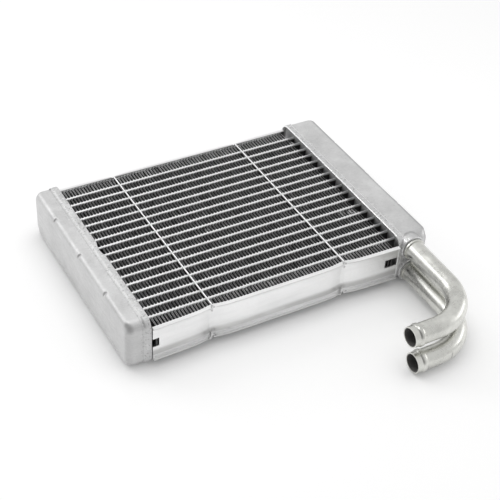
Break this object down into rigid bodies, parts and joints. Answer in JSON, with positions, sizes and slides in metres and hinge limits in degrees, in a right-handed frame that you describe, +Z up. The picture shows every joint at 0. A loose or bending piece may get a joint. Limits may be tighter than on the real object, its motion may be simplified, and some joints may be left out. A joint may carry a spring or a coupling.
{
  "type": "heater core",
  "caption": "Flat brazed heater core: flat tubes and corrugated fins between drawn end tanks, with bent and beaded hose pipes on one tank.",
  "frame": {"origin": "middle of the outline seen from above, on the plane that the two tank skirts rest on", "axes": "+X along the flat tubes towards the tank that carries the pipes, +Y away from the pipes, +Z up along the air direction, with the core lying flat"},
  "size_m": [0.2544, 0.2764, 0.0426],
  "materials": {
    "tube": "mill-finish brazed sheet, bright on the edges",
    "fin": "thin brazed strip, looks dark because the folds shade each other",
    "header": "matt brazed sheet",
    "tank": "satin drawn sheet with fine scuffs",
    "pipe": "smooth bent tube, semi-bright",
    "side_plate": "bright rolled sheet",
    "wire": "plain bright wire"
  },
  "bodies": {
    "root": {"flat_tube_01": "tube", "flat_tube_02": "tube", "flat_tube_03": "tube", "flat_tube_04": "tube", "flat_tube_05": "tube", "flat_tube_06": "tube", "flat_tube_07": "tube", "flat_tube_08": "tube", "flat_tube_09": "tube", "flat_tube_10": "tube", "flat_tube_11": "tube", "flat_tube_12": "tube", "flat_tube_13": "tube", "flat_tube_14": "tube", "flat_tube_15": "tube", "flat_tube_16": "tube", "flat_tube_17": "tube", "fin_01": "fin", "fin_02": "fin", "fin_03": "fin", "fin_04": "fin", "fin_05": "fin", "fin_06": "fin", "fin_07": "fin", "fin_08": "fin", "fin_09": "fin", "fin_10": "fin", "fin_11": "fin", "fin_12": "fin", "fin_13": "fin", "fin_14": "fin", "fin_15": "fin", "fin_16": "fin", "fin_17": "fin", "fin_18": "fin", "return_header": "header", "port_header": "header", "return_tank": "tank", "port_tank": "tank", "tank_partition": "header", "upper_pipe": "pipe", "lower_pipe": "pipe", "front_side_plate": "side_plate", "back_side_plate": "side_plate", "top_wire_left": "wire", "top_wire_right": "wire", "bottom_wire_left": "wire", "bottom_wire_right": "wire"}
  },
  "joints": []
}
